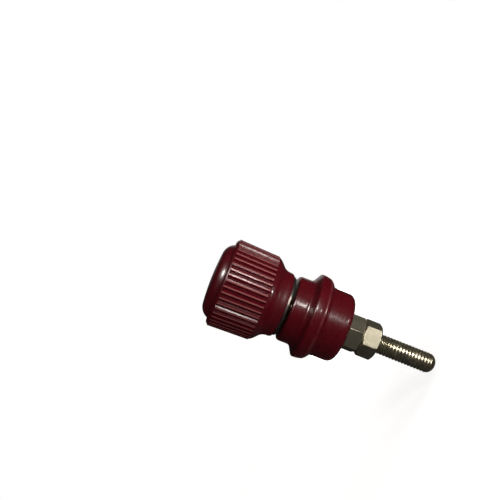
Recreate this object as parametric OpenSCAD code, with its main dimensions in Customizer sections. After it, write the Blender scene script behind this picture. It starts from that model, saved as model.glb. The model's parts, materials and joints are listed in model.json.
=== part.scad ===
// Insulated binding post: a screw-down terminal for a battery box or a power supply panel.
// Z is the axis of the stud, and +Z points out of the panel, towards the cap.
// The origin is the middle of the face where the flange lies on the panel. Millimetres.

/* [Stud] */
// Outside diameter of the thread
thread_d = 6; // [5:0.5:7]
// Rise of the thread in one turn
thread_pitch = 1; // [0.8:0.05:1.25]
// Bare length of stud behind the lug nut
free_length = 18.75; // [8:0.05:40]
// Radius of the flat on the stud's domed tip
tip_flat = 0.3; // [0.1:0.05:1.5]
// Length of the tapered lead at the stud's upper end
lead_length = 1.2; // [0.5:0.1:2]
// How much the lead narrows the stud's radius
lead_drop = 0.55; // [0.3:0.05:0.8]
// Width across the flats of the collar that keeps the stud from turning
collar_af = 11; // [9:0.1:13]
// Thickness of the collar
collar_t = 3.5; // [2:0.1:5]

/* [Nuts] */
// Width across the flats of each nut
nut_af = 10; // [9:0.5:13]
// Thickness of each nut
nut_h = 5.3; // [3:0.05:7]
// Slope of the bevel on a nut's corners, in degrees
nut_bevel = 30; // [15:1:40]
// Depth of the countersink at each end of a nut's thread
nut_sink = 0.4; // [0.2:0.05:0.8]
// Angle at which the clamp nut came to rest
clamp_nut_turn = 41.4; // [0:0.1:60]
// Angle at which the lug nut came to rest
lug_nut_turn = 10.5; // [0:0.1:60]

/* [Rear insulator] */
// Radius of the rear insulator at the panel
rear_r = 10.6; // [9:0.05:11.2]
// How much the rear insulator narrows towards its back
rear_draft = 0.12; // [0:0.01:0.4]
// Length of the rear insulator behind the panel face
rear_len = 7.5; // [6.5:0.1:14]
// Radius of the rounded edge at its back
rear_edge = 2.1; // [0.5:0.05:2.5]

/* [Front insulator] */
// Height of the front insulator's wire face above the panel face
base_h = 10.35; // [9:0.05:14]
// Radius of the rim under the wire face
rim_r = 10; // [9:0.05:11]
// Radius of the rounded edge of the wire face
rim_edge = 1; // [0.3:0.05:1.2]
// Largest radius of the flange
flange_r = 12.87; // [12.7:0.01:13.8]
// Height at which the flange is widest
flange_h = 3.8; // [3:0.1:4.5]
// Radius of the flange's rounded back
flange_back = 3.15; // [2.8:0.05:3.6]
// Radius of the curves that lead from the rim to the flange
sweep_r = 1.3; // [0.6:0.05:1.6]
// Slope of the surface between those two curves, in degrees
sweep_slope = 60; // [45:1:75]
// Width of the flat ring of the flange that shows on the panel around the rear insulator
panel_land = 0.45; // [0.2:0.05:1]
// Depth of the register that centres the rear insulator
register_depth = 0.3; // [0.2:0.05:0.6]
// Radius of the spigot that passes through the panel hole
spigot_r = 6; // [5:0.1:8]
// Length of the spigot
spigot_len = 5; // [2:0.1:6]

/* [Knob] */
// Height of the knob from its foot to its mouth
knob_h = 19.3; // [18:0.05:26]
// Radius over the ribs at the mouth
knob_r = 13.45; // [12:0.05:16]
// Wall between the mouth and the bottoms of the grooves
mouth_wall = 1.1; // [0.8:0.05:2]
// Lean of the ribs towards the axis, in degrees
rib_draft = 1.9; // [0:0.1:2.5]
// Number of ribs
rib_count = 48; // [36:1:54]
// Width of the groove between two ribs, at their tops
groove_w = 0.95; // [0.85:0.05:1.1]
// Depth of that groove
groove_depth = 0.45; // [0.2:0.05:0.45]
// Lean of the groove's flanks, in degrees
groove_flank = 42; // [25:1:42]
// Height of the lower ends of the ribs above the foot
rib_start = 6; // [5.9:0.05:8]
// How far the smooth bands beyond the ribs lie below the tops of the ribs
band_drop = 0.12; // [0:0.02:0.2]
// Width of the smooth band at the mouth
mouth_band = 0.8; // [0.6:0.05:1.3]
// Radius of the rounded edge of that band
mouth_edge = 1.35; // [0.9:0.05:1.8]
// Radius of the rounded shoulder under the ribs
shoulder_r = 5.5; // [3:0.1:6.5]
// Lean of the shoulder where it leaves the ribs, in degrees
shoulder_start = 25; // [22:1:35]
// Lean of the shoulder where the hollow curve takes over, in degrees
shoulder_lean = 47; // [43:1:52]
// How far the neck's waist lies inside the lower ends of the ribs
neck_step = 3.15; // [2.6:0.05:3.25]
// Radius of the hollow curve between shoulder and neck
neck_sweep = 3.2; // [2:0.1:3.4]
// Radius of the rounded edge of the foot
foot_edge = 2; // [1:0.1:2.4]
// Height of the waist above the foot
waist_h = 1.1; // [0.8:0.05:1.15]

/* [Cap] */
// Height of the cap
cap_h = 9; // [8:0.1:10]
// Radius of the cap's rounded edge
cap_edge = 4.2; // [2:0.1:5]
// Radius of the slight dome on the cap's face
cap_dome = 76; // [40:1:200]
// How far the cap stands out of the knob
cap_proud = 3.1; // [2:0.05:5]
// Length of stud inside the cap
cap_grip = 6; // [4:0.1:6.5]

/* [Clamp] */
// Radius of the pressure washer
washer_r = 9.1; // [8:0.05:9.3]
// Thickness of the pressure washer
washer_t = 0.9; // [0.6:0.05:2]
// Gap for the wire as the knob stands
wire_gap = 0.7; // [0.1:0.05:1.5]
// How far the knob can still be unscrewed
knob_lift = 3; // [1:0.1:4]
// Width across the flats of the threaded bush in the knob
bush_af = 9.6; // [8.5:0.1:12]
// Height of that bush
bush_h = 8.5; // [6:0.1:9.5]

/* [Fits] */
// Radial gap between the stud and what slides or screws along it
running_gap = 0.05; // [0.02:0.01:0.1]
// Radial gap between the cap and the knob's mouth
cap_gap = 0.2; // [0.1:0.05:0.3]
// Gap under the cap when the knob is fully unscrewed
cap_clear = 0.4; // [0.2:0.05:1]
// Gap between parts that nest without moving
nest_gap = 0.1; // [0.05:0.01:0.2]
// Small break on sharp edges
edge_break = 0.2; // [0.1:0.05:0.3]

/* [Hidden] */

$fn = 128;
arc_steps = 16;
maroon = [0.33, 0.07, 0.10];
nickel = [0.72, 0.69, 0.61];
brass = [0.74, 0.60, 0.32];

// Thread form: crest flat of an eighth of the pitch. Where two threads engage, both are plain at the
// pitch radius.
thread_r = thread_d / 2;
thread_flank = 30;
pitch_r = thread_r - 0.325 * thread_pitch;
root_width = thread_pitch * 7 / 8;
root_depth = 0.541 * thread_pitch;
bush_bore_r = pitch_r + running_gap;
slide_r = thread_r + running_gap;

// Heights along the stud, from the tip to the cap
rear_back_z = -rear_len;
lug_nut_z = rear_back_z - 2 * nut_h;
clamp_nut_z = rear_back_z - nut_h;
tip_z = lug_nut_z - free_length;
washer_z = base_h + wire_gap;
knob_z = washer_z + washer_t;
cap_top_z = knob_z + knob_h + cap_proud;
cap_z = cap_top_z - cap_h;
stud_top_z = cap_z + cap_grip;

// Rings that the flange, its register and the panel share
register_r = rear_r + nest_gap;
panel_face_r = register_r + panel_land;

// Knob, in heights above its own foot
rib_end = knob_h - mouth_band;
rib_foot_r = knob_r - (rib_end - rib_start) * tan(rib_draft);
neck_r = rib_foot_r - neck_step;
mouth_r = knob_r - groove_depth - mouth_wall;
mouth_floor = cap_z - knob_lift - cap_clear - knob_z;
cap_r = mouth_r - cap_gap;

// Points of an arc, counted anticlockwise from the R axis
function arc(centre, r, from, to) = [
    for (i = [0 : arc_steps])
        let (a = from + (to - from) * i / arc_steps)
            centre + r * [cos(a), sin(a)]
];

// A piece turned on the stud's axis, from its half outline
module turned(outline) {
    rotate_extrude() polygon(outline);
}

module hex_bar(af, h) {
    cylinder(d = af / cos(30), h = h, $fn = 6);
}

// The knob's outline over the tops of its ribs. A hollow curve rises upright from the neck, and a
// straight slope leads from it, with no crease, to the rounded shoulder that ends at the ribs.
shoulder_x = rib_foot_r - band_drop - shoulder_r * cos(shoulder_start);
shoulder_z = rib_start + shoulder_r * sin(shoulder_start);
slope_rise = (shoulder_x + shoulder_r * cos(shoulder_lean) - neck_r
    - neck_sweep * (1 - cos(shoulder_lean))) / tan(shoulder_lean);
sweep_z = shoulder_z - (shoulder_r + neck_sweep) * sin(shoulder_lean) - slope_rise;
mouth_start = asin(1 - mouth_band / mouth_edge);
knob_outline = concat(
    [[0, 0]],
    arc([neck_r - foot_edge, waist_h], foot_edge, -asin(waist_h / foot_edge), 0),
    arc([neck_r + neck_sweep, sweep_z], neck_sweep, 180, 180 - shoulder_lean),
    arc([shoulder_x, shoulder_z], shoulder_r, -shoulder_lean, -shoulder_start),
    [[rib_foot_r, rib_start], [knob_r, rib_end]],
    arc([knob_r - band_drop - mouth_edge, knob_h - mouth_edge], mouth_edge, mouth_start, 90),
    [[0, knob_h]]
);

// One groove between two ribs: sloping flanks, a narrow floor and the lean of the knob's side
module groove() {
    floor_w = groove_w - 2 * groove_depth * tan(groove_flank);
    open_w = groove_w + 2 * edge_break * tan(groove_flank);
    translate([rib_foot_r, 0, rib_start])
        rotate([0, rib_draft, 0])
            translate([0, 0, -edge_break])
                linear_extrude(rib_end - rib_start + 3 * edge_break)
                    polygon([
                        [-groove_depth, -floor_w / 2], [edge_break, -open_w / 2],
                        [edge_break, open_w / 2], [-groove_depth, floor_w / 2],
                    ]);
}

// All the grooves, cut off square where the smooth bands begin
module grooves() {
    intersection() {
        for (i = [0 : rib_count - 1])
            rotate(i * 360 / rib_count) groove();
        translate([0, 0, rib_start])
            cylinder(r = knob_r + 2 * edge_break, h = rib_end - rib_start);
    }
}

// Room inside the knob: the mouth that swallows the cap, the stud's way and the bush
module knob_hollow() {
    turned([
        [0, bush_h], [thread_r + nest_gap, bush_h], [thread_r + nest_gap, mouth_floor],
        [mouth_r, mouth_floor], [mouth_r, knob_h - edge_break],
        [mouth_r + edge_break, knob_h], [mouth_r + edge_break, knob_h + edge_break],
        [0, knob_h + edge_break],
    ]);
    translate([0, 0, -edge_break]) hex_bar(bush_af, bush_h + edge_break);
}

module knob() {
    color(maroon) translate([0, 0, knob_z]) difference() {
        turned(knob_outline);
        grooves();
        knob_hollow();
    }
}

module knob_insert() {
    color(brass) translate([0, 0, knob_z]) difference() {
        hex_bar(bush_af, bush_h);
        translate([0, 0, -edge_break]) cylinder(r = bush_bore_r, h = bush_h + 2 * edge_break);
    }
}

// The cap's face is a shallow dome that runs into the rounded edge without a crease
module cap() {
    edge_x = cap_r - cap_edge;
    dome_z = cap_h - cap_dome;
    edge_z = dome_z + sqrt(pow(cap_dome - cap_edge, 2) - pow(edge_x, 2));
    meet = atan2(edge_z - dome_z, edge_x);
    color(maroon) translate([0, 0, cap_z]) turned(concat(
        [[0, cap_grip], [pitch_r, cap_grip], [pitch_r, 0], [cap_r - edge_break, 0], [cap_r, edge_break]],
        arc([edge_x, edge_z], cap_edge, 0, meet),
        arc([0, dome_z], cap_dome, meet, 90)
    ));
}

module pressure_washer() {
    color(nickel) translate([0, 0, washer_z]) turned([
        [slide_r, 0], [washer_r - edge_break, 0], [washer_r, edge_break],
        [washer_r, washer_t - edge_break], [washer_r - edge_break, washer_t], [slide_r, washer_t],
    ]);
}

// One root of the thread, as a ring from one crest to the next
module thread_root(z) {
    floor_r = thread_r - root_depth;
    slope = root_depth * tan(thread_flank);
    over = edge_break * tan(thread_flank);
    turned([
        [floor_r, z + slope], [thread_r + edge_break, z - over],
        [thread_r + edge_break, z + root_width + over], [floor_r, z + root_width - slope],
    ]);
}

// The thread is cut from the lug nut to the domed tip, and above its first root the stud is plain
module stud() {
    dome_r = thread_r - tip_flat;
    bare_z = lug_nut_z - root_width / 2;
    color(nickel) difference() {
        union() {
            turned(concat(
                [[0, tip_z]],
                arc([tip_flat, tip_z + dome_r], dome_r, -90, 0),
                [[thread_r, bare_z], [pitch_r, bare_z], [pitch_r, stud_top_z - lead_length]],
                [[pitch_r - lead_drop, stud_top_z], [0, stud_top_z]]
            ));
            translate([0, 0, base_h - collar_t]) hex_bar(collar_af, collar_t);
        }
        for (i = [0 : floor(free_length / thread_pitch) - 1])
            thread_root(lug_nut_z - i * thread_pitch - root_width);
    }
}

// From the wire face down the outside, along the panel face and back up the stud's hole
module front_insulator() {
    sweep_x = sweep_r * (1 - cos(sweep_slope));
    sweep_z = sweep_r * sin(sweep_slope);
    slope_z = (flange_r - rim_r - 2 * sweep_x) / tan(sweep_slope);
    back_x = flange_r - flange_back;
    back_end = acos((panel_face_r - back_x) / flange_back);
    hole_r = thread_r + nest_gap;
    color(maroon) difference() {
        turned(concat(
            [[hole_r, base_h]],
            arc([rim_r - rim_edge, base_h - rim_edge], rim_edge, 90, 0),
            arc([rim_r + sweep_r, flange_h + 2 * sweep_z + slope_z], sweep_r, 180, 180 + sweep_slope),
            arc([flange_r - sweep_r, flange_h], sweep_r, sweep_slope, 0),
            arc([back_x, flange_back * sin(back_end)], flange_back, 0, -back_end),
            [[register_r, 0], [register_r, register_depth], [spigot_r, register_depth]],
            [[spigot_r, edge_break - spigot_len], [spigot_r - edge_break, -spigot_len], [hole_r, -spigot_len]]
        ));
        translate([0, 0, base_h - collar_t - nest_gap])
            hex_bar(collar_af + 2 * nest_gap, collar_t + 2 * nest_gap);
    }
}

// A bush with a socket for the spigot and a rounded back
module rear_insulator() {
    back_r = rear_r - rear_draft;
    hole_r = thread_r + nest_gap;
    socket_r = spigot_r + nest_gap;
    socket_z = -spigot_len - nest_gap;
    color(maroon) turned(concat(
        [[socket_r, register_depth], [socket_r, socket_z], [hole_r, socket_z], [hole_r, rear_back_z]],
        arc([back_r - rear_edge, rear_back_z + rear_edge], rear_edge, -90, 0),
        [[rear_r, register_depth]]
    ));
}

// A hexagon nut with bevelled corners and a countersunk thread
module hex_nut(turn) {
    corner_r = nut_af / 2 / cos(30);
    face_r = nut_af / 2 * 0.96;
    bevel_h = (corner_r - face_r) * tan(nut_bevel);
    sink_r = pitch_r + nut_sink;
    color(nickel) rotate(turn) difference() {
        intersection() {
            hex_bar(nut_af, nut_h);
            turned([
                [0, 0], [face_r, 0], [corner_r, bevel_h],
                [corner_r, nut_h - bevel_h], [face_r, nut_h], [0, nut_h],
            ]);
        }
        turned([
            [0, -nut_sink], [sink_r + nut_sink, -nut_sink], [pitch_r, nut_sink],
            [pitch_r, nut_h - nut_sink], [sink_r + nut_sink, nut_h + nut_sink], [0, nut_h + nut_sink],
        ]);
    }
}

module clamp_nut() {
    translate([0, 0, clamp_nut_z]) hex_nut(clamp_nut_turn);
}

module lug_nut() {
    translate([0, 0, lug_nut_z]) hex_nut(lug_nut_turn);
}

cap();
knob();
knob_insert();
pressure_washer();
stud();
front_insulator();
rear_insulator();
clamp_nut();
lug_nut();
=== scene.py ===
"""Looks for the insulated binding post: moulded phenolic, plated steel, a cut thread, and a light tent."""
import json
import math

import bpy
from mathutils import Matrix, Vector


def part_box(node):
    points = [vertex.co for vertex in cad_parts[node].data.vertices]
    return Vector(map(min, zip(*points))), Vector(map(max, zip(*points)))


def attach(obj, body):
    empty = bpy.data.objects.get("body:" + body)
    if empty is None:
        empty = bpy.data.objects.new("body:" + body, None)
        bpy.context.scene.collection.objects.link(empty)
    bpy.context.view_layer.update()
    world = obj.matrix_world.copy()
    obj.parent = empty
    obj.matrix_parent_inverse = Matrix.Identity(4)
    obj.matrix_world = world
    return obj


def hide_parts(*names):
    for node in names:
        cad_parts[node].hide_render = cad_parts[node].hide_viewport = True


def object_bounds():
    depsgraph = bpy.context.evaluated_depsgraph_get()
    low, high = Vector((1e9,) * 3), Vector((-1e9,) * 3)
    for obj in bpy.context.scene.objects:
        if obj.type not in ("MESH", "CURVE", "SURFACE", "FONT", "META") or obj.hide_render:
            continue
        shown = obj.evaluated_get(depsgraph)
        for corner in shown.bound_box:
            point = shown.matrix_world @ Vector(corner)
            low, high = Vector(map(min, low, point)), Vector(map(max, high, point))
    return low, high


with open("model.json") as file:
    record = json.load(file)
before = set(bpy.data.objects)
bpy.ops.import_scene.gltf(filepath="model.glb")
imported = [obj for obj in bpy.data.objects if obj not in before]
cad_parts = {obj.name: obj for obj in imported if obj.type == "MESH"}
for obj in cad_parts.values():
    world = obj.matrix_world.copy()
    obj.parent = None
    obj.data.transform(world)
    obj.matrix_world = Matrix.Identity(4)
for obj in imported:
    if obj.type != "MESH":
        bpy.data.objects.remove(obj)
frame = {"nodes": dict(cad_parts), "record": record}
cad_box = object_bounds()
nodes = frame["nodes"]
MM = 0.001

# Colours as linear values
MAROON = (0.104, 0.0010, 0.0062)
MAROON_DEEP = (0.092, 0.0007, 0.0050)
# Darker maroon: painted shade for the knob's grooves and the flange's inner corner
MAROON_SHADED = (0.050, 0.0006, 0.0030)
# Paler maroon: dust specks, and wear mixed with painted sheen on the rib backs and a painted highlight on
# the flange's edge
MAROON_WEAR_AND_SHEEN = (0.360, 0.128, 0.125)
NICKEL = (0.55, 0.505, 0.37)
NICKEL_DULL = (0.44, 0.40, 0.28)
# A darker copy of the nickel for the nuts: painted shade that offsets the glint lamps near them
NUT_NICKEL_SHADED = (0.49, 0.455, 0.345)
NUT_DULL_SHADED = (0.38, 0.35, 0.255)
# The washer's plate, darker and pinkish: painted shade of its narrow gap and a painted reflection of the
# maroon round it
PLATE_IN_SHADE = (0.26, 0.22, 0.20)
PLATE_IN_SHADE_DULL = (0.16, 0.13, 0.115)
BRASS = (0.60, 0.40, 0.15)
BRASS_DULL = (0.44, 0.28, 0.10)
WHITE = (1.0, 1.0, 1.0)
WARM_WHITE = (1.0, 0.965, 0.92)
FLOOR_PAINT = (0.8, 0.8, 0.8)


def mount(name):
    """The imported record's entry for one mount."""
    return next(m for m in frame["record"]["mounts"] if m["name"] == name)


# Shader helpers


def feed(tree, socket, value):
    """Link a socket into another one, or set a plain value on it."""
    if isinstance(value, bpy.types.NodeSocket):
        tree.links.new(value, socket)
    elif hasattr(value, "__len__") and len(socket.default_value) > len(value):
        socket.default_value = (*value, 1.0)
    else:
        socket.default_value = value


def add(tree, kind, inputs=None, **settings):
    """A new shader node with its settings made and its inputs fed."""
    made = tree.nodes.new("ShaderNode" + kind)
    for name, value in settings.items():
        setattr(made, name, value)
    for name, value in (inputs or {}).items():
        feed(tree, made.inputs[name], value)
    return made


def calc(tree, operation, a, b=0.0, clamp=False):
    """The result socket of one Math node."""
    made = add(tree, "Math", {0: a, 1: b}, operation=operation, use_clamp=clamp)
    return made.outputs[0]


def length(tree, vector):
    """The length of a vector."""
    return add(tree, "VectorMath", {0: vector}, operation="LENGTH").outputs["Value"]


def ramp(tree, value, low, high, to_low=0.0, to_high=1.0):
    """A value carried smoothly from one range to another."""
    made = add(
        tree,
        "MapRange",
        {"Value": value, "From Min": low, "From Max": high, "To Min": to_low, "To Max": to_high},
        interpolation_type="SMOOTHSTEP",
    )
    return made.outputs["Result"]


def blend_colour(tree, share, one, other):
    """A mix of two colours by a mask."""
    made = add(tree, "Mix", data_type="RGBA")
    for name, value in (("Factor", share), ("A", one), ("B", other)):
        socket = next(s for s in made.inputs if s.name == name and s.enabled)
        feed(tree, socket, value)
    return next(s for s in made.outputs if s.enabled)


def bump(tree, height, depth, under=None):
    """A normal from a height, over another normal if one is given."""
    made = add(tree, "Bump", {"Height": height, "Strength": 1.0, "Distance": depth})
    if under is not None:
        tree.links.new(under, made.inputs["Normal"])
    return made.outputs[0]


def empty_finish(name):
    """A material with an output and nothing else: (material, tree, a function that sets the surface)."""
    finish = bpy.data.materials.new(name)
    finish.use_nodes = True
    tree = finish.node_tree
    tree.nodes.clear()
    output = add(tree, "OutputMaterial")

    def surface(shader):
        tree.links.new(shader.outputs[0], output.inputs["Surface"])

    return finish, tree, surface


def new_finish(name):
    """A material with a plain Principled shader: (material, tree, shader, object coordinates)."""
    finish, tree, surface = empty_finish(name)
    shader = add(tree, "BsdfPrincipled")
    surface(shader)
    place = add(tree, "TexCoord").outputs["Object"]
    return finish, tree, shader, place


def effect_group(name, inputs, outputs):
    """An empty shader group with named sockets: (tree, its inputs, a function that feeds an output)."""
    tree = bpy.data.node_groups.new(name, "ShaderNodeTree")
    for label, kind, value in inputs:
        socket = tree.interface.new_socket(label, in_out="INPUT", socket_type="NodeSocket" + kind)
        if value is not None:
            socket.default_value = value
    for label, kind in outputs:
        tree.interface.new_socket(label, in_out="OUTPUT", socket_type="NodeSocket" + kind)
    source = tree.nodes.new("NodeGroupInput")
    sink = tree.nodes.new("NodeGroupOutput")

    def put(label, value):
        feed(tree, sink.inputs[label], value)

    return tree, source.outputs, put


def use(tree, group, place, **values):
    """One placement of an effect group in a material, with its own values."""
    made = tree.nodes.new("ShaderNodeGroup")
    made.node_tree = group
    for name, value in {"Vector": place, **values}.items():
        feed(tree, made.inputs[name], value)
    return made.outputs


# Effects that several finishes share

HAIRLINE_EDGE = (0.52, 0.66)
SPECK_SIZE, SPECK_EDGE = 0.16, 0.05


def noise(tree, place, size, detail, roughness):
    """A noise pattern with features of a given size."""
    scale = calc(tree, "DIVIDE", 1.0, size)
    inputs = {"Vector": place, "Scale": scale, "Detail": detail, "Roughness": roughness}
    return add(tree, "TexNoise", inputs).outputs["Fac"]


def make_cloudiness():
    """Soft uneven patches: Patch is 0 to 1, Height is the same patches as a slight swelling."""
    tree, given, put = effect_group(
        "cloudiness",
        [("Vector", "Vector", None), ("Size", "Float", 4 * MM), ("Contrast", "Float", 1.0)],
        [("Patch", "Float"), ("Height", "Float")],
    )
    clouds = noise(tree, given["Vector"], given["Size"], detail=4.0, roughness=0.6)
    centred = calc(tree, "SUBTRACT", clouds, 0.5)
    spread = calc(tree, "MULTIPLY", centred, calc(tree, "MULTIPLY", given["Contrast"], 2.0))
    put("Patch", calc(tree, "ADD", spread, 0.5, clamp=True))
    put("Height", clouds)
    return tree


def make_hairlines():
    """Fine parallel marks. Along stretches them, so a small value on one axis gives long lines that way."""
    tree, given, put = effect_group(
        "hairlines",
        [("Vector", "Vector", None), ("Along", "Vector", (1.0, 1.0, 1.0)), ("Spacing", "Float", 0.2 * MM)],
        [("Height", "Float"), ("Mask", "Float")],
    )
    stretched = add(tree, "VectorMath", {0: given["Vector"], 1: given["Along"]}, operation="MULTIPLY")
    lines = noise(tree, stretched.outputs[0], given["Spacing"], detail=3.0, roughness=0.7)
    put("Height", lines)
    put("Mask", ramp(tree, lines, *HAIRLINE_EDGE))
    return tree


def make_specks():
    """Scattered small specks of dust or tiny pits."""
    tree, given, put = effect_group(
        "specks",
        [("Vector", "Vector", None), ("Spacing", "Float", 2 * MM), ("Amount", "Float", 0.5)],
        [("Mask", "Float")],
    )
    scale = calc(tree, "DIVIDE", 1.0, given["Spacing"])
    cells = add(tree, "TexVoronoi", {"Vector": given["Vector"], "Scale": scale, "Randomness": 1.0})
    size = calc(tree, "MULTIPLY", cells.outputs["Color"], SPECK_SIZE)
    edge = calc(tree, "SUBTRACT", size, cells.outputs["Distance"])
    spot = ramp(tree, edge, 0.0, SPECK_EDGE)
    put("Mask", calc(tree, "MULTIPLY", spot, given["Amount"], clamp=True))
    return tree


CLOUDINESS = make_cloudiness()
HAIRLINES = make_hairlines()
SPECKS = make_specks()


# Moulded phenolic

PHENOLIC_SHINE, PHENOLIC_COAT = 0.3, 0.5
PHENOLIC_ROUGH, DUST_DULL = (0.26, 0.34), 0.3
SKIN_DEPTH, RING_DEPTH = 0.008 * MM, 0.12 * MM
# The flange's back edge is painted paler: wear and a painted highlight
EDGE_FLOW, EDGE_WEAR_AND_HIGHLIGHT, EDGE_REACH = (0.1, 0.9), (0.05, 0.32), 0.5 * MM
# The corner under the rim is painted darker, as painted shade
CORNER_SHADE, CORNER_REACH = 0.8, 1.4 * MM
RING_CORE = 0.1


def axis_places(tree, place):
    """The parts of a place, and its distance from the stud's axis: (split, radius)."""
    split = add(tree, "SeparateXYZ", {0: place}).outputs
    flat = add(tree, "CombineXYZ", {"X": split["X"], "Y": split["Y"]})
    return split, length(tree, flat.outputs[0])


def along_ring(tree, place, ring_place, reach):
    """1 along a ring, given by its height and its radius, and 0 from a distance on."""
    split, radius = axis_places(tree, place)
    above = calc(tree, "SUBTRACT", split["Z"], ring_place[0])
    outside = calc(tree, "SUBTRACT", radius, ring_place[1])
    off = add(tree, "CombineXYZ", {"X": above, "Y": outside})
    return ramp(tree, length(tree, off.outputs[0]), reach, RING_CORE * reach)


def moulded_base(tree, place):
    """What all moulded pieces share: (colour, patches of flow, the uneven skin's outputs)."""
    flow = use(tree, CLOUDINESS, place, Size=5 * MM, Contrast=1.4)["Patch"]
    skin = use(tree, CLOUDINESS, place, Size=1.6 * MM, Contrast=1.0)
    return blend_colour(tree, flow, MAROON_DEEP, MAROON), flow, skin


def phenolic(name, coat_roughness, worn_highlit_edge=None, shaded_corner=None):
    """Glossy moulded phenolic with faint rings, and maybe an edge painted paler, as wear and as a painted
    highlight, and a corner painted darker, as painted shade.
    """
    finish, tree, shader, place = new_finish(name)
    colour, flow, skin = moulded_base(tree, place)
    dust = use(tree, SPECKS, place, Spacing=1.6 * MM, Amount=0.25)["Mask"]
    rings = use(tree, HAIRLINES, place, Along=(0.02, 0.02, 1.0), Spacing=0.9 * MM)["Height"]
    pale = dust
    if worn_highlit_edge:
        # The edge painted paler, as wear and as a painted highlight
        wear_and_highlight = ramp(tree, flow, *EDGE_FLOW, *EDGE_WEAR_AND_HIGHLIGHT)
        wear_and_highlight = calc(tree, "MULTIPLY", wear_and_highlight, along_ring(tree, place, worn_highlit_edge, EDGE_REACH))
        pale = calc(tree, "MAXIMUM", dust, wear_and_highlight)
    # Painted shade: the corner under the rim is darkened
    if shaded_corner:
        painted_shade = calc(tree, "MULTIPLY", along_ring(tree, place, shaded_corner, CORNER_REACH), CORNER_SHADE)
        colour = blend_colour(tree, painted_shade, colour, MAROON_SHADED)
    feed(tree, shader.inputs["Base Color"], blend_colour(tree, pale, colour, MAROON_WEAR_AND_SHEEN))
    gloss = ramp(tree, skin["Patch"], 0.0, 1.0, *PHENOLIC_ROUGH)
    dull = calc(tree, "MULTIPLY", dust, DUST_DULL)
    feed(tree, shader.inputs["Roughness"], calc(tree, "ADD", gloss, dull))
    shader.inputs["Specular IOR Level"].default_value = PHENOLIC_SHINE
    shader.inputs["Coat Weight"].default_value = PHENOLIC_COAT
    shader.inputs["Coat Roughness"].default_value = coat_roughness
    surface = bump(tree, skin["Height"], SKIN_DEPTH)
    feed(tree, shader.inputs["Normal"], bump(tree, rings, RING_DEPTH, surface))
    return finish


# Ribbed phenolic

RIB_COUNT = 48
RIB_PITCH, RIB_BACK = 1.73 * MM, 0.78 * MM
RIB_LEAN = math.tan(math.radians(1.9))
RIB_CROWN = 0.25 / MM
RIB_LENGTH, MOUTH_BAND = 12.5 * MM, 0.8 * MM

# A mark on the ribs fades between two depths under a rib's back
BACK_DEPTH = (0.10 * MM, 0.03 * MM)
FLANK_DEPTH = (0.45 * MM, 0.30 * MM)
GROOVE_DEPTH = (0.25 * MM, 0.50 * MM)

# The pale strip, wear with painted sheen, fades out from a rib's middle, and the shoulder and the neck begin
# past the ribs' foot
WORN_SHEEN_HALF = (0.28 * MM, 0.12 * MM)
SHOULDER_START, NECK_START = (0.0, 0.2 * MM), (1.6 * MM, 2.4 * MM)

WORN_SHEEN_SHARE, GROOVE_SHADE = 0.85, 0.5
RIB_ROUGH, RIB_SKIN_DEPTH = (0.28, 0.34), 0.001 * MM
NECK_DULL, GROOVE_DULL, FLANK_POLISH, BACK_POLISH = 0.10, 0.3, 0.09, 0.05
SHOULDER_COAT, SHOULDER_COAT_ROUGH = 0.8, 0.08


def rib_places(tree, place):
    """Places on the knob: from a rib's middle, under its back, 1 within its ends, and past its foot."""
    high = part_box("knob")[1]
    split, radius = axis_places(tree, place)
    drop = calc(tree, "SUBTRACT", high.z - MOUTH_BAND, split["Z"])
    taper = calc(tree, "MULTIPLY", drop, RIB_LEAN)
    depth = calc(tree, "SUBTRACT", high.x, calc(tree, "ADD", radius, taper))
    turn = calc(tree, "MULTIPLY", calc(tree, "ARCTAN2", split["Y"], split["X"]), RIB_COUNT / math.tau)
    aside = calc(tree, "ABSOLUTE", calc(tree, "SUBTRACT", calc(tree, "FRACT", turn), 0.5))
    aside = calc(tree, "MULTIPLY", aside, RIB_PITCH)
    from_middle = calc(tree, "ABSOLUTE", calc(tree, "SUBTRACT", drop, RIB_LENGTH / 2))
    within = calc(tree, "LESS_THAN", from_middle, RIB_LENGTH / 2)
    past_ribs = calc(tree, "SUBTRACT", drop, RIB_LENGTH)
    return aside, depth, within, past_ribs


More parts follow.
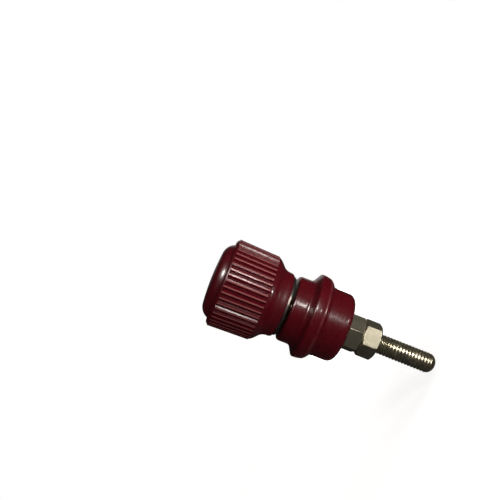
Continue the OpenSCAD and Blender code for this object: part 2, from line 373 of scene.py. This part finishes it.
def ribbed_phenolic(name):
    """The knob's phenolic: worn, polished, rounded ribs with painted sheen on their backs and painted shade
    between them.
    """
    finish, tree, shader, place = new_finish(name)
    colour, _, skin = moulded_base(tree, place)
    aside, depth, within, past_ribs = rib_places(tree, place)
    back, flank, groove = [
        calc(tree, "MULTIPLY", ramp(tree, depth, *fade), within)
        for fade in (BACK_DEPTH, FLANK_DEPTH, GROOVE_DEPTH)
    ]
    # Painted shade: the grooves between the ribs are darkened
    painted_shade = calc(tree, "MULTIPLY", groove, GROOVE_SHADE)
    # A pale strip down each rib's middle: wear and painted sheen
    worn_sheen = calc(tree, "MULTIPLY", back, ramp(tree, aside, *WORN_SHEEN_HALF, 0.0, WORN_SHEEN_SHARE))
    colour = blend_colour(tree, painted_shade, colour, MAROON_SHADED)
    feed(tree, shader.inputs["Base Color"], blend_colour(tree, worn_sheen, colour, MAROON_WEAR_AND_SHEEN))
    neck = ramp(tree, past_ribs, *NECK_START)
    rough = ramp(tree, skin["Patch"], 0.0, 1.0, *RIB_ROUGH)
    changes = ((neck, NECK_DULL), (painted_shade, GROOVE_DULL), (flank, -FLANK_POLISH), (back, -BACK_POLISH))
    for mask, change in changes:
        rough = calc(tree, "ADD", rough, calc(tree, "MULTIPLY", mask, change))
    feed(tree, shader.inputs["Roughness"], rough)
    shoulder = calc(tree, "SUBTRACT", ramp(tree, past_ribs, *SHOULDER_START), neck)
    feed(tree, shader.inputs["Coat Weight"], calc(tree, "MULTIPLY", shoulder, SHOULDER_COAT))
    shader.inputs["Coat Roughness"].default_value = SHOULDER_COAT_ROUGH
    shader.inputs["Specular IOR Level"].default_value = PHENOLIC_SHINE
    across = calc(tree, "MINIMUM", aside, RIB_BACK / 2)
    height = calc(tree, "MULTIPLY", calc(tree, "POWER", across, 2.0), -RIB_CROWN)
    height = calc(tree, "MULTIPLY", height, within)
    surface = bump(tree, skin["Height"], RIB_SKIN_DEPTH)
    feed(tree, shader.inputs["Normal"], bump(tree, height, 1.0, surface))
    return finish


# Plated steel and bare brass

METALLIC = 0.93
WORN_SHARE, ROUGH_SPREAD, MARK_DULL = 0.7, 0.06, 0.06


def tooled_metal(name, bright, dull, rough, along, line_depth):
    """Metal with fine tool marks along or round the stud, dull patches and pits."""
    finish, tree, shader, place = new_finish(name)
    patches = use(tree, CLOUDINESS, place, Size=2.8 * MM, Contrast=1.6)["Patch"]
    marks = use(tree, HAIRLINES, place, Along=along, Spacing=0.16 * MM)
    pits = use(tree, SPECKS, place, Spacing=1.2 * MM, Amount=0.6)["Mask"]
    worn = calc(tree, "MAXIMUM", calc(tree, "MULTIPLY", patches, WORN_SHARE), pits)
    feed(tree, shader.inputs["Base Color"], blend_colour(tree, worn, bright, dull))
    gloss = ramp(tree, patches, 0.0, 1.0, rough - ROUGH_SPREAD, rough + ROUGH_SPREAD)
    scored = calc(tree, "MULTIPLY", marks["Mask"], MARK_DULL)
    feed(tree, shader.inputs["Roughness"], calc(tree, "ADD", gloss, scored))
    shader.inputs["Metallic"].default_value = METALLIC
    feed(tree, shader.inputs["Normal"], bump(tree, marks["Height"], line_depth))
    return finish


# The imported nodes' finishes

EASE_WIDTH, EASE_STEPS, EASE_ANGLE = 0.12 * MM, 2, math.radians(25)
WELD_REACH = 0.001 * MM


def dress(name, finish):
    """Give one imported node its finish."""
    for slot in nodes[name].material_slots:
        slot.material = finish


def ease_edges(name):
    """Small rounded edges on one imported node."""
    piece = nodes[name]
    piece.modifiers.new("join", "WELD").merge_threshold = WELD_REACH
    ease = piece.modifiers.new("ease", "BEVEL")
    ease.width, ease.segments = EASE_WIDTH, EASE_STEPS
    ease.limit_method, ease.angle_limit = "ANGLE", EASE_ANGLE
    piece.modifiers.new("even", "WEIGHTED_NORMAL")


SMOOTH_PHENOLIC = phenolic("moulded_phenolic", coat_roughness=0.20)
KNOB_PHENOLIC = ribbed_phenolic("ribbed_phenolic")
# The nuts get the darker copy of the nickel, painted shade against the nearby lamps
NUT_PLATE = tooled_metal("plated_nut", NUT_NICKEL_SHADED, NUT_DULL_SHADED, 0.42, (1.0, 1.0, 0.15), 0.006 * MM)
# The washer's plate is painted darker and pinkish, as shade of its gap and reflected maroon
RING_PLATE = tooled_metal("plated_ring", PLATE_IN_SHADE, PLATE_IN_SHADE_DULL, 0.38, (0.05, 0.05, 1.0), 0.004 * MM)
STUD_PLATE = tooled_metal("plated_thread", NICKEL, NICKEL_DULL, 0.26, (0.15, 0.15, 1.0), 0.001 * MM)
BARE_BRASS = tooled_metal("machined_brass", BRASS, BRASS_DULL, 0.40, (0.1, 0.1, 1.0), 0.004 * MM)

for piece in ("cap", "rear_insulator"):
    dress(piece, SMOOTH_PHENOLIC)
dress("knob", KNOB_PHENOLIC)
dress("knob_insert", BARE_BRASS)
dress("pressure_washer", RING_PLATE)
for piece in ("clamp_nut", "lug_nut"):
    dress(piece, NUT_PLATE)
    ease_edges(piece)


# Turned pieces
# A skin goes from row to row, up the outside. A row is a height with a radius, or with a function for it

SHARP_ANGLE = math.radians(35)


def ring(z, radius, sides):
    """The points of one row round the stud's axis."""
    points = []
    for i in range(sides):
        angle = math.tau * i / sides
        r = radius(z, angle) if callable(radius) else radius
        points.append((r * math.cos(angle), r * math.sin(angle), z))
    return points


def band(here, there, sides):
    """The faces between two rows, each given by the number of its first point."""
    pairs = [(i, (i + 1) % sides) for i in range(sides)]
    return [(here + i, here + j, there + j, there + i) for i, j in pairs]


def new_object(name, points, faces, finish):
    """A mesh with one finish, as an object in the scene."""
    mesh = bpy.data.meshes.new(name)
    mesh.from_pydata(points, [], faces)
    mesh.materials.append(finish)
    made = bpy.data.objects.new(name, mesh)
    bpy.context.scene.collection.objects.link(made)
    return made


def turned_piece(name, rows, sides, looped, finish):
    """A turned skin as an object. A looped skin joins its last row to its first, others get flat ends."""
    points = [point for z, radius in rows for point in ring(z, radius, sides)]
    faces = []
    for row in range(len(rows) if looped else len(rows) - 1):
        faces += band(row * sides, (row + 1) % len(rows) * sides, sides)
    if not looped:
        faces.append(tuple(reversed(range(sides))))
        faces.append(tuple(range((len(rows) - 1) * sides, len(rows) * sides)))
    made = new_object(name, points, faces, finish)
    for face in made.data.polygons:
        face.use_smooth = True
    made.data.set_sharp_from_angle(angle=SHARP_ANGLE)
    made.modifiers.new("even", "WEIGHTED_NORMAL").keep_sharp = True
    return made


def stand_in(piece, node):
    """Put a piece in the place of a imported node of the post."""
    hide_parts(node)
    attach(piece, "post")


def hexagon(flats):
    """Radius of a hexagon with corners on the X axis."""
    sixth = math.radians(60)
    return lambda z, angle: flats / 2 / math.cos((angle % sixth) - sixth / 2)


def arc(centre, radius, start, end, steps):
    """Rows along an arc in the plane of the axis, from one angle in degrees to another."""
    angles = [math.radians(start + (end - start) * i / steps) for i in range(steps + 1)]
    return [(centre[1] + radius * math.sin(a), centre[0] + radius * math.cos(a)) for a in angles]


# Stud

THREAD_R = mount("rear_stud")["dims"]["r_mm"] * MM
PITCH, PITCH_LINE = 1.0 * MM, 0.325
THREAD_DEPTH, CREST_POWER = 0.30 * MM, 0.7
ENGAGED_R = THREAD_R - PITCH_LINE * PITCH
TIP_FLAT = 0.3 * MM
LEAD_DROP, LEAD_SLOPE = 0.5 * MM, 0.5
COLLAR_T, FACE_EASE = 3.5 * MM, 0.02 * MM
ROWS_PER_TURN, DOME_ROWS, STUD_SIDES = 16, 20, 72


def thread_form(phase):
    """Height of the rolled thread, 1 on its round crest and 0 in the narrower root, over one pitch."""
    return (0.5 + 0.5 * math.cos(math.tau * phase)) ** CREST_POWER


def build_stud():
    """A thread with a domed tip, a shank, a hexagonal collar and the thread for the knob."""
    low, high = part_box("stud")
    nut_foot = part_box("lug_nut")[0].z
    collar_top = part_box("front_insulator")[1].z - FACE_EASE
    collar_foot = collar_top - COLLAR_T
    dome_r = THREAD_R - TIP_FLAT

    def helix(crest_r, z, angle):
        return crest_r - THREAD_DEPTH * (1 - thread_form(z / PITCH - angle / math.tau))

    def bare(z, angle):
        under = max(0.0, low.z + dome_r - z)
        return min(TIP_FLAT + math.sqrt(max(0.0, dome_r**2 - under**2)), helix(THREAD_R, z, angle))

    def upper(z, angle):
        return min(helix(ENGAGED_R, z, angle), ENGAGED_R + LEAD_SLOPE * (high.z - z) - LEAD_DROP)

    def heights(start, end):
        count = round((end - start) / PITCH * ROWS_PER_TURN)
        return [start + (end - start) * i / count for i in range(count + 1)]

    tip = [low.z + dome_r * (1 - math.cos(math.pi / 2 * i / DOME_ROWS)) for i in range(DOME_ROWS)]
    rows = [(z, bare) for z in sorted(tip + heights(low.z, nut_foot)[1:])]
    rows += [(nut_foot, ENGAGED_R), (collar_foot, ENGAGED_R)]
    rows += [(z, hexagon(high.y - low.y)) for z in (collar_foot, collar_top)]
    rows += [(z, upper) for z in heights(collar_top, high.z)]
    return turned_piece("threaded_stud", rows, STUD_SIDES, False, STUD_PLATE)


# Front insulator, with angles in degrees up from the outward direction

RIM_R, RIM_EDGE = 10.0 * MM, 1.0 * MM
SWEEP_R, SWEEP_SLOPE = 1.6 * MM, 60
FRONT_EDGE, FLANGE_TOP = 0.45 * MM, 4.4 * MM
CROWN_R, CROWN_START, CROWN_END = 9.0 * MM, -1, -17
BACK_START = -30
PANEL_FACE_R, REGISTER_R, REGISTER_DEPTH = 11.15 * MM, 10.7 * MM, 0.3 * MM
SPIGOT_R, HOLE_R, NEST_GAP = 6.0 * MM, 3.1 * MM, 0.1 * MM
ARC_STEPS, FRONT_STEPS, BACK_STEPS, INSULATOR_SIDES = 10, 6, 8, 144
FLANGE_COAT_ROUGH = 0.11


def sweep_rows(foot_z, foot_out):
    """The fillet under the rim, which ends at the sweep's slope, in line with the flange's front edge."""
    slope = math.radians(SWEEP_SLOPE)
    sweep_out = SWEEP_R * (1 - math.cos(slope))
    run = (foot_out - RIM_R - sweep_out) / math.tan(slope)
    sweep_z = foot_z + run + SWEEP_R * math.sin(slope)
    return arc((RIM_R + SWEEP_R, sweep_z), SWEEP_R, 180, 180 + SWEEP_SLOPE, ARC_STEPS)


def back_rows(back_z, back_out):
    """The flange's back, an arc from the crown's end down to the panel face."""
    lean = math.degrees(math.atan2(back_out - PANEL_FACE_R, back_z))
    half = lean + BACK_START
    back_r = math.hypot(back_out - PANEL_FACE_R, back_z) / 2 / math.sin(math.radians(half))
    start = math.radians(BACK_START)
    back_at = (back_out - back_r * math.cos(start), back_z - back_r * math.sin(start))
    return arc(back_at, back_r, BACK_START, BACK_START - 2 * half, BACK_STEPS)


def build_front_insulator():
    """A rim, a sweep out to the flange, whose crown lies between two crisp edges, and the hidden spigot."""
    low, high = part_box("front_insulator")
    collar_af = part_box("stud")[1].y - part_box("stud")[0].y
    pocket = hexagon(collar_af + 2 * NEST_GAP)
    face_z = high.z - FACE_EASE
    pocket_floor = high.z - COLLAR_T - NEST_GAP
    edge_z = FLANGE_TOP - FRONT_EDGE
    front = arc((high.x - FRONT_EDGE, edge_z), FRONT_EDGE, SWEEP_SLOPE, 0, FRONT_STEPS)
    crown = arc((high.x - CROWN_R, edge_z), CROWN_R, CROWN_START, CROWN_END, ARC_STEPS)
    sweep = sweep_rows(*front[0])
    rows = [(face_z, pocket)] + arc((RIM_R - RIM_EDGE, face_z - RIM_EDGE), RIM_EDGE, 90, 0, ARC_STEPS)
    rows += sweep + front + crown + back_rows(*crown[-1])[1:]
    rows += [(0.0, REGISTER_R), (REGISTER_DEPTH, REGISTER_R), (REGISTER_DEPTH, SPIGOT_R)]
    rows += [(low.z, SPIGOT_R), (low.z, HOLE_R), (pocket_floor, HOLE_R), (pocket_floor, pocket)]
    # The sweep's inner corner, which the finish darkens as painted shade
    corner = [(a + b) / 2 for a, b in zip(sweep[-1], front[0])]
    finish = phenolic("flange_phenolic", FLANGE_COAT_ROUGH, crown[-1], corner)
    return turned_piece("flanged_insulator", rows[::-1], INSULATOR_SIDES, True, finish)


stand_in(build_stud(), "stud")
stand_in(build_front_insulator(), "front_insulator")


# Camera

CAMERA_AT = Vector((0.7, -205.0, 36.0)) * MM
LOOKS_AT = Vector((11.61, 0.0, 26.79)) * MM
STUD_SLOPE = math.radians(21.67)
LENS_MM, SENSOR_MM = 50.23, 36.0
CLIP_START, CLIP_END = 5 * MM, 20.0


def place_camera():
    """The photo's view: the stud runs down to the right, seen square to its side."""
    back = (CAMERA_AT - LOOKS_AT).normalized()
    up = Vector((math.cos(STUD_SLOPE), 0.0, math.sin(STUD_SLOPE)))
    right = up.cross(back).normalized()
    up = back.cross(right)
    data = bpy.data.cameras.new("photo_camera")
    data.lens = LENS_MM
    data.sensor_width = SENSOR_MM
    data.clip_start, data.clip_end = CLIP_START, CLIP_END
    camera = bpy.data.objects.new("photo_camera", data)
    axes = Matrix((right, up, back)).transposed().to_4x4()
    camera.matrix_world = Matrix.Translation(CAMERA_AT) @ axes
    bpy.context.scene.collection.objects.link(camera)
    bpy.context.scene.camera = camera


place_camera()


# Room and floor

ROOM = 0.24
FLOOR_GLOW, NEAR_GLOW, FLOOR_LIGHT = 0.85, 0.73, 0.05
NEAR_END, FAR_START = 55 * MM, 160 * MM
FLOOR_DROP, FLOOR_HALF = 1.5 * MM, 1.5
floor_z = cad_box[0].z - FLOOR_DROP


def white_to_view(tree, seen_as, light):
    """A strength for the camera and for reflections, and another one as light."""
    path = add(tree, "LightPath").outputs
    seen = calc(tree, "MAXIMUM", path["Is Camera Ray"], path["Is Glossy Ray"])
    seen = calc(tree, "MAXIMUM", seen, path["Is Transmission Ray"])
    return ramp(tree, seen, 0.0, 1.0, light, seen_as)


def light_world():
    """A white room, which lights the floor outside the tent."""
    world = bpy.data.worlds.new("white_room")
    world.use_nodes = True
    tree = world.node_tree
    tree.nodes.clear()
    glow = add(tree, "Background", {"Color": WHITE, "Strength": white_to_view(tree, 1.0, ROOM)})
    tree.links.new(glow.outputs[0], add(tree, "OutputWorld").inputs["Surface"])
    bpy.context.scene.world = world


def floor_finish():
    """White to the eye, a little less so near the post, where plain paint keeps its soft shadow."""
    finish, tree, surface = empty_finish("pale_floor")
    away = length(tree, add(tree, "TexCoord").outputs["Object"])
    shown = ramp(tree, away, NEAR_END, FAR_START, NEAR_GLOW, FLOOR_GLOW)
    glow = add(tree, "Emission", {"Color": WHITE, "Strength": white_to_view(tree, shown, FLOOR_LIGHT)})
    plain = add(tree, "BsdfDiffuse", {"Color": FLOOR_PAINT})
    surface(add(tree, "AddShader", {0: glow.outputs[0], 1: plain.outputs[0]}))
    return finish


def stage_sheet(name, points, faces, finish, unseen=()):
    """A floor, card or tent, hidden from the kinds of rays that are named."""
    made = new_object(name, points, faces, finish)
    for kind in unseen:
        setattr(made, "visible_" + kind, False)


def lay_floor():
    """A wide square of floor just under the object."""
    corners = [(x * FLOOR_HALF, y * FLOOR_HALF, floor_z) for x, y in ((-1, -1), (1, -1), (1, 1), (-1, 1))]
    stage_sheet("floor", corners, [(0, 1, 2, 3)], floor_finish())


light_world()
lay_floor()


# Light tent and card

FILL = 0.18
TENT_REACH, TENT_HEIGHT, TENT_SIDES = 300 * MM, 450 * MM, 64
TENT_DARK, TENT_PALE, TENT_BACK = 0.01, 0.03, 0.5
CARD_GLOW, CARD_LIFT = 0.02, 0.2 * MM

# A pale place on the tent fades between two distances along one axis
PALE_ABOVE = (0.35 * TENT_REACH, 0.9 * TENT_REACH)
PALE_BEHIND = (0.75 * TENT_REACH, 0.9 * TENT_REACH)
BEHIND_FOOT = (-0.05 * TENT_REACH, 0.12 * TENT_REACH)
BEHIND_END = (0.45 * TENT_REACH, 0.25 * TENT_REACH)


def glowing_sheet(name):
    """A material that glows but isn't sampled as a lamp: (material, tree, the glow's strength)."""
    finish, tree, surface = empty_finish(name)
    glow = add(tree, "Emission", {"Color": WARM_WHITE})
    surface(glow)
    finish.cycles.emission_sampling = "NONE"
    return finish, tree, glow.inputs["Strength"]


def tent_finish():
    """Grey cloth that lights plain surfaces evenly. Reflections show it dark, paler above and behind."""
    finish, tree, strength = glowing_sheet("tent_cloth")
    place = add(tree, "SeparateXYZ", {0: add(tree, "TexCoord").outputs["Object"]}).outputs
    above = ramp(tree, place["X"], *PALE_ABOVE, TENT_DARK, TENT_PALE)
    behind = ramp(tree, place["Y"], *PALE_BEHIND, 0.0, TENT_BACK)
    behind = calc(tree, "MULTIPLY", behind, ramp(tree, place["X"], *BEHIND_FOOT))
    behind = calc(tree, "MULTIPLY", behind, ramp(tree, place["Z"], *BEHIND_END))
    shown = calc(tree, "ADD", above, behind)
    plain = add(tree, "LightPath").outputs["Is Diffuse Ray"]
    feed(tree, strength, ramp(tree, plain, 0.0, 1.0, shown, FILL))
    return finish


def card_finish():
    """Dark card."""
    finish, tree, strength = glowing_sheet("dark_card")
    feed(tree, strength, CARD_GLOW)
    return finish


def raise_tent():
    """A round wall with a flat top, all round the object."""
    points = ring(floor_z, TENT_REACH, TENT_SIDES) + ring(floor_z + TENT_HEIGHT, TENT_REACH, TENT_SIDES)
    faces = band(0, TENT_SIDES, TENT_SIDES)
    faces.append(tuple(range(TENT_SIDES, 2 * TENT_SIDES)))
    stage_sheet("light_tent", points, faces, tent_finish(), ("camera",))


def lay_card():
    """A dark card on the floor, there for reflections only."""
    points = ring(floor_z + CARD_LIFT, TENT_REACH, TENT_SIDES)
    unseen = ("camera", "diffuse", "transmission", "shadow")
    stage_sheet("dark_card", points, [tuple(range(TENT_SIDES))], card_finish(), unseen)


raise_tent()
lay_card()


# Lamps

SEEN_BY_ALL, GLINT_ONLY, FILL_ONLY = (), ("diffuse",), ("glossy",)

# In millimetres: place, aim, size along and across the stud. Then the glow, and the rays that don't see it
LAMPS = {
    "knob_light": ((48, -90, 16), (0, 0, 20), (14, 14), 30.0, SEEN_BY_ALL),
    "rib_glint": ((51, -94, 16), (0, 0, 20), (14, 34), 13.0, GLINT_ONLY),
    "rim_light": ((42, -91, -9), (0, 0, 0), (12, 15), 30.0, SEEN_BY_ALL),
    "cap_glint": ((65, -100, 195), (0, 0, 30), (40, 40), 80.0, GLINT_ONLY),
    "shoulder_glint": ((17.8, -28, -35.5), (2.6, -12.6, 17.3), (5, 5), 50.0, GLINT_ONLY),
    "cap_light": ((20, -60, 200), (0, 0, 30), (60, 60), 5.0, FILL_ONLY),
    "top_light": ((150, -80, 10), (0, 0, 10), (80, 80), 4.0, FILL_ONLY),
    "flange_glint": ((33, -78, -32), (2.6, -12.5, 3), (6, 6), 30.0, GLINT_ONLY),
    "back_light": ((0, 205, -17), (0, 0, 0), (36, 60), 20.0, FILL_ONLY),
}


def lamp(name, at, aim, size, glow, unseen):
    """A soft box of a given brightness, with its first side along the stud."""
    data = bpy.data.lights.new(name, "AREA")
    data.shape = "RECTANGLE"
    data.size, data.size_y = size
    data.energy = glow * math.pi * size[0] * size[1]
    data.color = WARM_WHITE
    light = bpy.data.objects.new(name, data)
    back = (at - aim).normalized()
    along = Vector((0.0, 0.0, 1.0))
    across = back.cross(along).normalized()
    along = across.cross(back)
    light.matrix_world = Matrix.Translation(at) @ Matrix((along, across, back)).transposed().to_4x4()
    for kind in ("camera", *unseen):
        setattr(light, "visible_" + kind, False)
    bpy.context.scene.collection.objects.link(light)


for name, (at, aim, size, glow, unseen) in LAMPS.items():
    lamp(name, Vector(at) * MM, Vector(aim) * MM, [side * MM for side in size], glow, unseen)

bpy.context.scene.view_settings.view_transform = "Standard"
